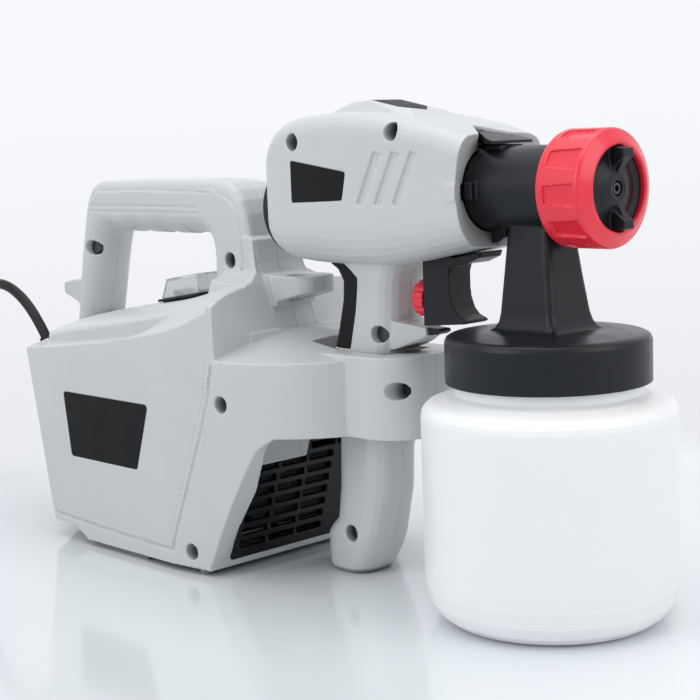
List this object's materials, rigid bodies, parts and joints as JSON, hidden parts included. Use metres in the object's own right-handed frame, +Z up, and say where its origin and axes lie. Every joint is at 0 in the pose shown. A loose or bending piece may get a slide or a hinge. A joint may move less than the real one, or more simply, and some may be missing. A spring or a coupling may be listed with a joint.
{
  "type": "turbine paint sprayer",
  "caption": "Paint spray gun with a screw-on cup, standing in the holster of its turbine base, with a carry handle, an air intake grille and a mains lead.",
  "frame": {"origin": "on the ground, in the middle of the length from the hook at the rear to the front of the cup, the lead not counted", "axes": "+X the way the gun sprays, +Y to the side of the hose outlet, +Z up"},
  "size_m": [0.6194, 0.2112, 0.2413],
  "materials": {
    "housing": "satin moulded plastic",
    "black_plastic": "moulded plastic with a soft sheen",
    "nameplate": "glossy film, blank",
    "red_plastic": "glossy moulded plastic",
    "cup_plastic": "translucent polyethylene",
    "clear_plastic": "clear soft cover",
    "rubber": "dull",
    "foot_rubber": "dull",
    "cord": "smooth sheath",
    "foam": "open-cell foam",
    "turbine_metal": "die cast",
    "motor_metal": "painted",
    "steel": "turned",
    "dark_steel": "blackened",
    "inner_plastic": "moulded",
    "seal": "soft",
    "tube_plastic": "translucent",
    "brass": "turned",
    "nozzle_metal": "bright"
  },
  "bodies": {
    "base": {"base_shell_left": "housing", "base_shell_right": "housing", "filter_foam": "foam", "turbine_housing": "turbine_metal", "motor_body": "motor_metal", "motor_bearings": "steel", "motor_mount": "rubber", "outlet_duct": "inner_plastic", "hose_outlet": "black_plastic", "switch_bezel": "black_plastic", "switch_boot": "clear_plastic", "base_feet": "foot_rubber", "base_screws": "dark_steel", "base_nameplate": "nameplate", "cord_gland": "rubber", "cord_run": "cord", "cord_coil": "cord", "mains_plug": "cord"},
    "grille": {"intake_grille": "black_plastic"},
    "rocker": {"switch_rocker": "black_plastic"},
    "rotor": {"turbine_impeller": "turbine_metal", "motor_shaft": "steel"},
    "gun": {"gun_shell_left": "housing", "gun_shell_right": "housing", "grip_inlay": "rubber", "gun_nameplate": "nameplate", "top_badge": "nameplate", "air_inlet": "black_plastic", "gun_air_duct": "inner_plastic", "gun_screws": "dark_steel", "guard_tip": "black_plastic", "trigger_pin": "steel", "trigger_spring": "steel"},
    "trigger": {"trigger": "black_plastic"},
    "flow_knob": {"flow_knob": "red_plastic"},
    "spray_head": {"spray_head": "black_plastic", "cup_gasket": "seal", "suction_tube": "tube_plastic", "needle_packing": "brass", "needle_spring": "steel", "fluid_nozzle": "nozzle_metal"},
    "needle": {"needle": "steel"},
    "cup": {"cup": "cup_plastic"},
    "union_nut": {"union_nut": "red_plastic"},
    "air_cap": {"air_cap": "black_plastic"}
  },
  "joints": [
    {"name": "gun_lift", "type": "slide", "parent": "base", "child": "gun", "axis": [0, 0, 1], "range_m": [0, 0.13]},
    {"name": "grille_pull", "type": "slide", "parent": "base", "child": "grille", "axis": [1, 0, 0], "range_m": [0, 0.018]},
    {"name": "switch_rock", "type": "hinge", "parent": "base", "child": "rocker", "pos_m": [-0.1, 0, 0.1343], "axis": [0, -1, 0], "range_deg": [0, 16]},
    {"name": "turbine_spin", "type": "hinge", "parent": "base", "child": "rotor", "pos_m": [-0.0786, 0, 0.08], "axis": [0, 0, 1], "continuous": true},
    {"name": "trigger_pull", "type": "hinge", "parent": "gun", "child": "trigger", "pos_m": [0.104, 0, 0.219], "axis": [0, 1, 0], "range_deg": [0, 5], "stiffness_Nm_per_rad": 2, "springref_deg": -2.86, "deforming": ["trigger_spring"]},
    {"name": "flow_knob_turn", "type": "hinge", "parent": "trigger", "child": "flow_knob", "pos_m": [0.0835, 0, 0.1445], "axis": [1, 0, 0], "range_deg": [0, 720]},
    {"name": "head_twist", "type": "hinge", "parent": "gun", "child": "spray_head", "pos_m": [0.115, 0, 0.198], "axis": [1, 0, 0], "range_deg": [0, 45]},
    {"name": "needle_slide", "type": "slide", "parent": "spray_head", "child": "needle", "axis": [-1, 0, 0], "range_m": [0, 0.002], "deforming": ["needle_spring"]},
    {"name": "cup_unscrew", "type": "hinge", "parent": "spray_head", "child": "cup", "pos_m": [0.157, 0, 0.115], "axis": [0, 0, 1], "range_deg": [0, 450]},
    {"name": "union_nut_turn", "type": "hinge", "parent": "spray_head", "child": "union_nut", "pos_m": [0.182, 0, 0.198], "axis": [1, 0, 0], "range_deg": [0, 720]},
    {"name": "air_cap_turn", "type": "hinge", "parent": "spray_head", "child": "air_cap", "pos_m": [0.192, 0, 0.198], "axis": [1, 0, 0], "range_deg": [0, 90]}
  ],
  "couplings": [
    {"joint": "needle_slide", "follows": "trigger_pull", "m_per_rad": 0.021}
  ]
}
